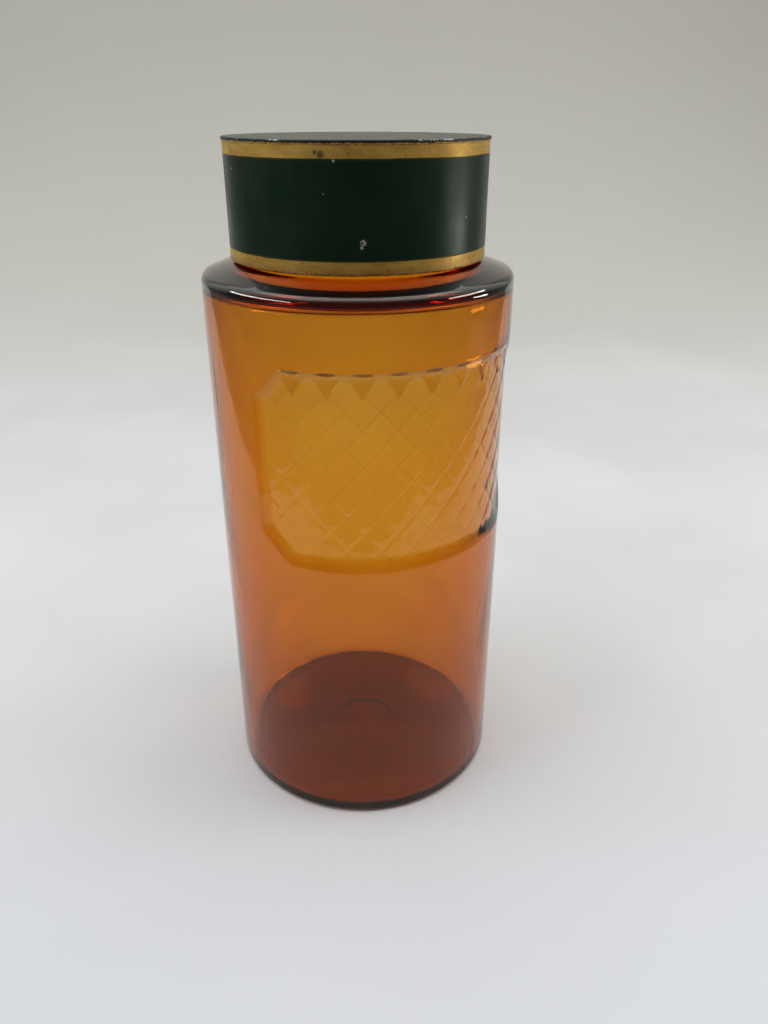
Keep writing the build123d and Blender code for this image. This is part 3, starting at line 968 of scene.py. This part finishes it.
def as_seen(right, away, up):
    """A place given from the viewer's side, in mm: to the right, away, and up."""
    a = math.radians(VIEW_ANGLE)
    x = right * math.cos(a) - away * math.sin(a)
    y = right * math.sin(a) + away * math.cos(a)
    return Vector((x, y, up)) * MM


def dark_ground():
    s = Shader("ground")
    soft = s.noise(s.position(), 0.01, 3.0)
    colour = s.mix(soft, (0.13, 0.13, 0.12, 1), (0.19, 0.185, 0.17, 1))
    return s.finish({"Base Color": colour, "Roughness": 0.9})


def floor_path():
    """(away, up) points of the floor: flat, then a quarter turn, then straight up."""
    near, far, rise, high = -280.0, 760.0, 420.0, 1150.0
    path = [(near + (far - near) * i / 12, 0.0) for i in range(13)]
    for i in range(1, 13):
        a = math.pi / 2 * i / 12
        path.append((far + rise * math.sin(a), rise - rise * math.cos(a)))
    return path + [(far + rise, rise + (high - rise) * i / 5) for i in range(1, 6)]


def make_floor():
    """A pale sheet that rises behind the jar and widens away from the viewer."""
    path, across = floor_path(), 24
    verts = []
    for away, up in path:
        half = 250 + 0.62 * (away - path[0][0])
        verts += [as_seen(half * (2 * i / across - 1), away, up - 0.15) for i in range(across + 1)]
    faces = []
    for i in range(len(path) - 1):
        for a in range(i * (across + 1), i * (across + 1) + across):
            faces.append((a, a + 1, a + across + 2, a + across + 1))
    floor = new_piece("floor", verts, faces)
    floor.data.materials.append(pale_floor())


def make_ground():
    """Wider and darker ground, just below the floor."""
    wide, down = 5000.0, 3.0
    corners = ((-1, -1), (1, -1), (1, 1), (-1, 1))
    verts = [as_seen(wide * x, wide * y, -down) for x, y in corners]
    base = new_piece("ground", verts, [(0, 1, 2, 3)])
    base.data.materials.append(dark_ground())


def soft_light(name, place, aim, width, height, radiance, colour):
    """A rectangle of light, its sides in metres and its brightness like a surface's."""
    data = bpy.data.lights.new(name, "AREA")
    data.shape = "RECTANGLE"
    data.size = width
    data.size_y = height
    data.energy = radiance * math.pi * width * height
    data.color = colour
    light = bpy.data.objects.new(name, data)
    light.location = place
    light.rotation_euler = (aim - place).to_track_quat("-Z", "Y").to_euler()
    bpy.context.scene.collection.objects.link(light)


def make_lights():
    aim = Vector((0, 0, 0.15))
    soft_light("sky_left", as_seen(-1150, -250, 760), aim, 1.3, 0.15, 12.0, (0.94, 0.97, 1.0))
    soft_light("sky_right", as_seen(1150, -50, 720), aim, 0.8, 0.16, 12.0, (1.0, 0.98, 0.95))
    soft_light("low_right", as_seen(950, 60, 130), aim, 0.26, 0.10, 12.0, (1.0, 0.96, 0.94))
    soft_light("overhead", as_seen(0, 100, 1500), aim, 1.8, 1.4, 1.25, (0.98, 0.99, 1.0))


def make_world():
    """An open sky above and behind the jar, and a shaded side towards the viewer."""
    world = bpy.data.worlds.new("studio")
    world.use_nodes = True
    tree = world.node_tree
    back = tree.nodes["Background"]
    ahead = as_seen(0, 520, 850).normalized()
    coords = tree.nodes.new("ShaderNodeTexCoord")
    dot = tree.nodes.new("ShaderNodeVectorMath")
    dot.operation = "DOT_PRODUCT"
    dot.inputs[1].default_value = ahead
    tree.links.new(coords.outputs["Generated"], dot.inputs[0])
    fade = tree.nodes.new("ShaderNodeMapRange")
    fade.interpolation_type = "SMOOTHSTEP"
    # where the dot product grows from 0.10 to 0.85, the strength grows from 0.06 to 0.90
    for index, value in ((1, 0.10), (2, 0.85), (3, 0.06), (4, 0.90)):
        fade.inputs[index].default_value = value
    tree.links.new(dot.outputs["Value"], fade.inputs[0])
    tree.links.new(fade.outputs[0], back.inputs["Strength"])
    back.inputs["Color"].default_value = (0.93, 0.97, 1.0, 1)
    bpy.context.scene.world = world


def make_camera():
    data = bpy.data.cameras.new("camera")
    data.sensor_width = 36.0
    data.lens = FOCAL * data.sensor_width
    camera = bpy.data.objects.new("camera", data)
    camera.location = as_seen(0, -CAMERA_AWAY * BODY_R, CAMERA_UP * BODY_R)
    pitch, yaw = math.radians(CAMERA_PITCH), math.radians(CAMERA_YAW)
    ahead = as_seen(
        math.sin(yaw) * math.cos(pitch), math.cos(yaw) * math.cos(pitch), -math.sin(pitch)
    )
    camera.rotation_euler = ahead.to_track_quat("-Z", "Y").to_euler()
    bpy.context.scene.collection.objects.link(camera)
    bpy.context.scene.camera = camera


def render_quality():
    scene = bpy.context.scene
    scene.view_settings.view_transform = "Standard"
    cycles = scene.cycles
    cycles.use_denoising = True
    cycles.max_bounces = 20
    cycles.transmission_bounces = 16
    cycles.glossy_bounces = 6
    cycles.diffuse_bounces = 5
    cycles.volume_bounces = 0
    cycles.sample_clamp_indirect = 6.0
    cycles.blur_glossy = 0.3


# --- putting it together --------------------------------------------------------------
def put_in(piece, body, node, material):
    piece.data.materials.append(material)
    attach(piece, body)
    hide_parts(node)


solder_metal = solder()
put_in(jar_glass(), "jar", "glass_jar", amber_glass())
put_in(lid_band(), "lid", "lid_band", lid_paint())
put_in(lid_disc(), "lid", "lid_disc", lid_top_paint())
put_in(lid_solder_ring(), "lid", "lid_top_solder", solder_metal)
put_in(lid_solder_seam(), "lid", "lid_seam_solder", solder_metal)
put_in(lid_cork(), "lid_wad", "lid_liner", cork())

make_floor()
make_ground()
make_lights()
make_world()
make_camera()
render_quality()
